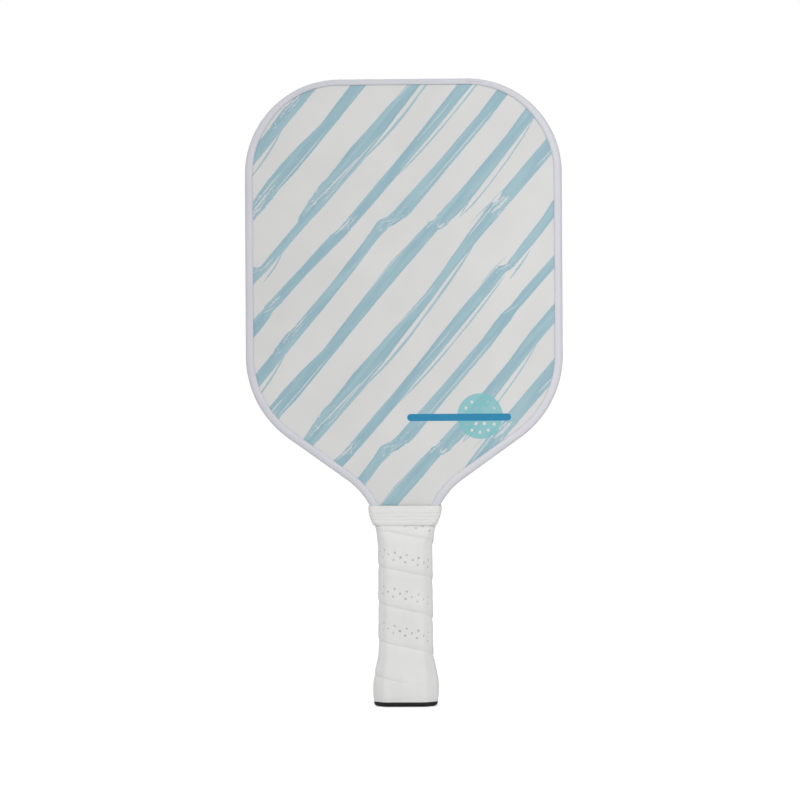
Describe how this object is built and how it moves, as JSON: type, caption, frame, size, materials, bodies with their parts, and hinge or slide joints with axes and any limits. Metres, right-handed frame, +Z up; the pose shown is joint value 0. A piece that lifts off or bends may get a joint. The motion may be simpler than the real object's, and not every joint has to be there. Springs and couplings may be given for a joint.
{
  "type": "pickleball paddle",
  "caption": "Wide-body pickleball paddle: honeycomb panel with printed faces, plastic edge guard, wrapped octagonal handle, ribbed rubber collar and flared butt cap.",
  "frame": {"origin": "centre of the butt cap's end face, on the handle's axis", "axes": "+Z runs up the handle to the head's top edge, the front face looks towards -Y, and +X is to the right when the front is seen with the handle down"},
  "size_m": [0.2032, 0.034, 0.4015],
  "materials": {
    "honeycomb": "matte",
    "laminate": "satin",
    "printed_face": "satin",
    "guard_plastic": "satin",
    "pallet_plastic": "matte",
    "cap_plastic": "satin",
    "staple_steel": "satin",
    "wrap_leatherette": "matte",
    "vinyl_tape": "satin",
    "collar_rubber": "matte"
  },
  "bodies": {
    "root": {"core_panel": "honeycomb", "front_face_sheet": "laminate", "rear_face_sheet": "laminate", "front_graphic_film": "printed_face", "rear_graphic_film": "printed_face", "edge_guard": "guard_plastic", "front_handle_pallet": "pallet_plastic", "rear_handle_pallet": "pallet_plastic", "butt_cap": "cap_plastic", "cap_staple_front": "staple_steel", "cap_staple_rear": "staple_steel", "grip_staple": "staple_steel", "grip_wrap": "wrap_leatherette", "finishing_tape": "vinyl_tape", "grip_collar": "collar_rubber"}
  },
  "joints": []
}
